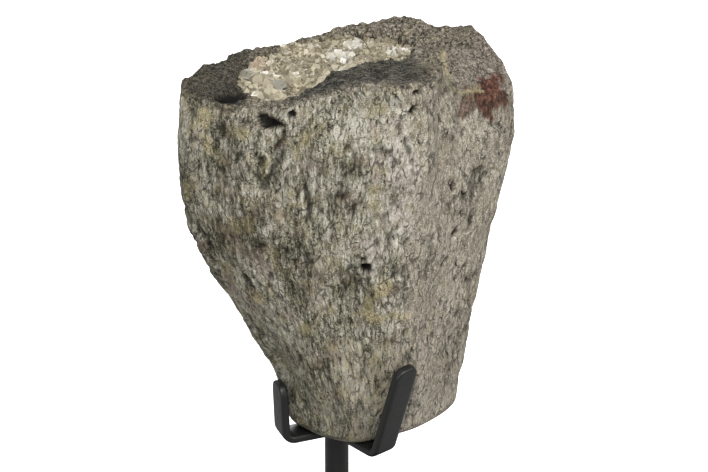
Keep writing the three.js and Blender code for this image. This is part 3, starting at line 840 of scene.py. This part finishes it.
def scattered_blocks():
    """Plan places, sizes and colours of all blocks: the clusters, then a scatter over the whole bed."""
    plans, sizes, colours = [], [], []
    for centre, radius, count, size, colour in CLUSTERS:
        angle, reach = draw.uniform(0, 2 * math.pi, count), radius * np.sqrt(draw.uniform(0, 1, count))
        away = np.stack([reach * np.cos(angle), reach * np.sin(angle)], axis=-1)
        plans.append(np.array(centre) + away)
        sizes.append(size * draw.uniform(0.55, 1.2, count))
        colours.append(np.array(linear(*colour)) * draw.uniform(0.72, 1.0, (count, 1)))
    angle = draw.uniform(0, len(HOLLOW_OUTLINE), SCATTER_COUNT)
    reach = np.sqrt(draw.uniform(0, 1, SCATTER_COUNT)) * 0.99
    plans.append(HOLLOW_CENTRE + (hollow_curve(angle) - HOLLOW_CENTRE) * reach[:, None])
    sizes.append(0.45 + 1.25 * draw.uniform(0, 1, SCATTER_COUNT) ** 4)
    share = draw.uniform(0, 1, (SCATTER_COUNT, 1)) ** 1.3
    colours.append(np.array(linear(*BROWN)) * (1 - share) + np.array(linear(*CREAM)) * share)
    return np.concatenate(plans), np.concatenate(sizes), np.concatenate(colours)


def turned_blocks(plans, sizes):
    """Each block is a cube sheared into a rhomb, stretched, turned by three random angles and placed."""
    count = len(sizes)
    shear = np.array([[1, 0.28, 0.1], [0, 1, 0.2], [0, 0, 1]])
    stretch = draw.uniform(0.7, 1.3, (count, 1, 3)) * sizes[:, None, None]
    blocks = (CUBE @ shear.T)[None] * stretch
    for axis in range(3):
        angle = draw.uniform(-math.pi, math.pi, count)
        one, two = [k for k in range(3) if k != axis]
        cos, sin = np.cos(angle)[:, None], np.sin(angle)[:, None]
        a, b = blocks[..., one].copy(), blocks[..., two].copy()
        blocks[..., one], blocks[..., two] = cos * a - sin * b, sin * a + cos * b
    level = crust_height(plans[:, 0], plans[:, 1]) + 0.12 * sizes
    return blocks + np.concatenate([plans, level[:, None]], axis=-1)[:, None]


plans, sizes, colours = scattered_blocks()
blocks = turned_blocks(plans, sizes)
block_faces = CUBE_FACES[None] + 8 * np.arange(len(blocks))[:, None, None] + len(bed_points)
crust_points = np.concatenate([bed_points, blocks.reshape(-1, 3)])
crust_faces = np.concatenate([bed_faces, block_faces.reshape(-1, 3)])
crust = make_piece("calcite_crystals", crust_points + [0, 0, BONE_FOOT], crust_faces, smooth=False)
give_attribute(crust, "block", np.arange(len(crust_points)) >= len(bed_points))
bed_colours = np.tile(linear(*BEIGE), (len(bed_points), 1))
point_colours = np.concatenate([bed_colours, np.repeat(colours, 8, axis=0)])
point_colours[:, 3] = 1
colour_layer = crust.data.attributes.new("colour", "FLOAT_COLOR", "POINT")
colour_layer.data.foreach_set("color", point_colours.ravel())
print("crust:", len(blocks), "blocks,", len(crust_faces), "triangles")


# %% Calcite material
def calcite_material():
    shader = Shader("calcite")
    place = shader.node("ShaderNodeTexCoord", output="Object")
    grit = shader.noise(place, 900.0, 3.0, 0.6)
    patches = shader.noise(place, 160.0, 3.0, 0.6)
    block = shader.attribute("block")
    bed_colour = shader.mix(grit.over(0.35, 0.65), linear(92, 83, 62), linear(200, 190, 164))
    bed_colour = shader.mix(patches.over(0.5, 0.66) * 0.5, bed_colour, linear(104, 96, 78))
    own_colour = shader.attribute("colour", "Color")
    block_colour = shader.mix(grit.over(0.3, 0.7) * 0.5, own_colour, linear(150, 141, 118))
    colour = shader.mix(block, bed_colour, block_colour)
    return shader.finish(
        Base_Color=colour, Roughness=0.55 - block * 0.25, Specular_IOR_Level=0.5,
        Normal=shader.bump(grit, 0.35, 0.0005),
    )


crust.data.materials.append(calcite_material())
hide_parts("calcite_crust")
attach(crust, "root")

# %% [markdown]
# ## The steel cradle
#
# Each arm is one flat strip, bent up near its end, with a rounded tip and soft painted edges. A
# superellipse is the natural section for it: with an exponent of 2 it is an ellipse, and higher
# exponents give a flat strip with rounded corners. The section is carried along the bent path.

# %% One strip along its path
STRIP_WIDTH, STRIP_THICKNESS, STRIP_BEND, STRIP_START = 9.0, 2.8, 3.4, 1.5
LEVEL_SAMPLES, ARC_SAMPLES, PRONG_SAMPLES = 20, 24, 107
# direction in degrees from +X, reach, lean of the prong from upright in degrees, rise
ARMS = {
    "cradle_arm_left": (202, 15.7, 2, 19),
    "cradle_arm_right": (-49, 20.2, 18, 34),
    "cradle_arm_back": (83, 22, 11, 26),
}


def strip_path(reach, lean, rise):
    """Distances and heights along the strip's middle line: level, then an arc, then the prong."""
    turn = math.radians(90 - lean)
    half = STRIP_THICKNESS / 2
    level = reach - STRIP_START
    arc = STRIP_BEND * turn
    tip = (rise - (STRIP_BEND - half) + STRIP_BEND * math.cos(turn)) / math.sin(turn)
    total = level + arc + tip
    walked = np.concatenate([
        np.linspace(0, level, LEVEL_SAMPLES)[:-1], np.linspace(level, level + arc, ARC_SAMPLES)[:-1],
        total - tip * (1 - np.linspace(0, 1, PRONG_SAMPLES)) ** 1.6,
    ])
    angle = np.clip((walked - level) / arc, 0, 1) * turn
    beyond = np.maximum(0, walked - level - arc)
    r = STRIP_START + np.minimum(walked, level) + STRIP_BEND * np.sin(angle) + beyond * math.cos(turn)
    height = -half + STRIP_BEND * (1 - np.cos(angle)) + beyond * math.sin(turn)
    return r, height, angle, total - walked


def strip_rings(direction, reach, lean, rise, around=48):
    """Sections carried along the path. A section's half width w and half thickness t follow
    |across / w|^8 + |through / t|^4 = 1, and both shrink to a round end at the tip."""
    r, height, angle, left = strip_path(reach, lean, rise)
    end = np.clip(left / 4.4, 0, 1)
    half_width = STRIP_WIDTH / 2 * (1 - (1 - end) ** 2.1) ** (1 / 2.1)
    thin = np.clip(left / 1.3, 0, 1)
    half_thick = STRIP_THICKNESS / 2 * (1 - (1 - thin) ** 2.2) ** (1 / 2.2)
    turn = np.arange(around) / around * 2 * math.pi
    across = np.sign(np.sin(turn)) * np.abs(np.sin(turn)) ** (2 / 8)
    through = np.sign(np.cos(turn)) * np.abs(np.cos(turn)) ** (2 / 4)
    side = half_width[:, None] * across
    depth = half_thick[:, None] * through
    out_r = r[:, None] + depth * np.sin(angle)[:, None]
    out_z = height[:, None] - depth * np.cos(angle)[:, None]
    bearing = math.radians(direction)
    return np.stack([
        out_r * math.cos(bearing) - side * math.sin(bearing),
        out_r * math.sin(bearing) + side * math.cos(bearing),
        out_z + POST_TOP,
    ], axis=-1)


def loft(name, tube):
    """A closed piece from rings of points, with a point in the middle of each end."""
    return make_piece(name, *closed_rings(tube, tube[0].mean(axis=0), tube[-1].mean(axis=0)))


# %% Post as a turned form
PLATE_TOP, POST_HIDDEN, POST_RADIUS = 5.0, 2.0, 3.95
BEAD_HEIGHT, BEAD_SPREAD, BEAD_RIPPLE = 1.5, 1.1, 0.02


def post_rings(around=72):
    """A round bar: a profile of radius and height, with a weld bead at the plate, turned round Z."""
    rise = np.linspace(0, 1, 60)
    heights = PLATE_TOP + rise * (POST_TOP - POST_HIDDEN - PLATE_TOP)
    bead = BEAD_HEIGHT * np.exp(-((heights - PLATE_TOP) / BEAD_SPREAD) ** 2)
    radius = POST_RADIUS + bead
    turn = np.arange(around) / around * 2 * math.pi
    ripple = 1 + BEAD_RIPPLE * np.sin(9 * turn)[None] * (bead > 0.02)[:, None]
    circle = np.stack([np.cos(turn), np.sin(turn)], axis=-1)
    plan = radius[:, None, None] * ripple[..., None] * circle
    level = np.broadcast_to(heights[:, None, None], (len(rise), around, 1))
    return np.concatenate([plan, level], axis=-1)


# %% Black paint
def paint_material():
    shader = Shader("black paint")
    place = shader.node("ShaderNodeTexCoord", output="Object")
    skin_noise = shader.noise(place, 260.0, 3.0, 0.5)
    scuffs = shader.noise(place, 90.0, 4.0, 0.7).over(0.6, 0.78)
    return shader.finish(
        Base_Color=shader.mix(scuffs * 0.35, linear(22, 22, 21), linear(52, 51, 48)),
        Roughness=0.3 + skin_noise * 0.16, Specular_IOR_Level=0.42,
        Normal=shader.bump(skin_noise, 0.25, 0.0006),
    )


paint = paint_material()
for name, measures in ARMS.items():
    arm = loft(name.replace("cradle_arm", "painted_arm"), strip_rings(*measures))
    arm.data.materials.append(paint)
    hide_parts(name)
    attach(arm, "root")

post = loft("painted_post", post_rings())
post.data.materials.append(paint)
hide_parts("post")
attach(post, "root")

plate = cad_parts["base_plate"]
plate.data.materials.clear()
plate.data.materials.append(paint)

# %% [markdown]
# ## Floor
#
# The photograph has a white sweep with no visible horizon. A large plain plane that also glows
# stays white under the specimen, so the soft shadow hardly shows.


# %% Floor
def floor_material():
    shader = Shader("white floor")
    white = (1, 1, 1, 1)
    return shader.finish(Base_Color=white, Roughness=0.9, Emission_Color=white, Emission_Strength=0.9)


FLOOR_HALF = 4000.0
corners = np.array([[-1, -1, 0], [1, -1, 0], [1, 1, 0], [-1, 1, 0]]) * FLOOR_HALF
floor = make_piece("floor", corners, [[0, 1, 2, 3]])
floor.data.materials.append(floor_material())
floor.visible_diffuse = False
floor.visible_glossy = False
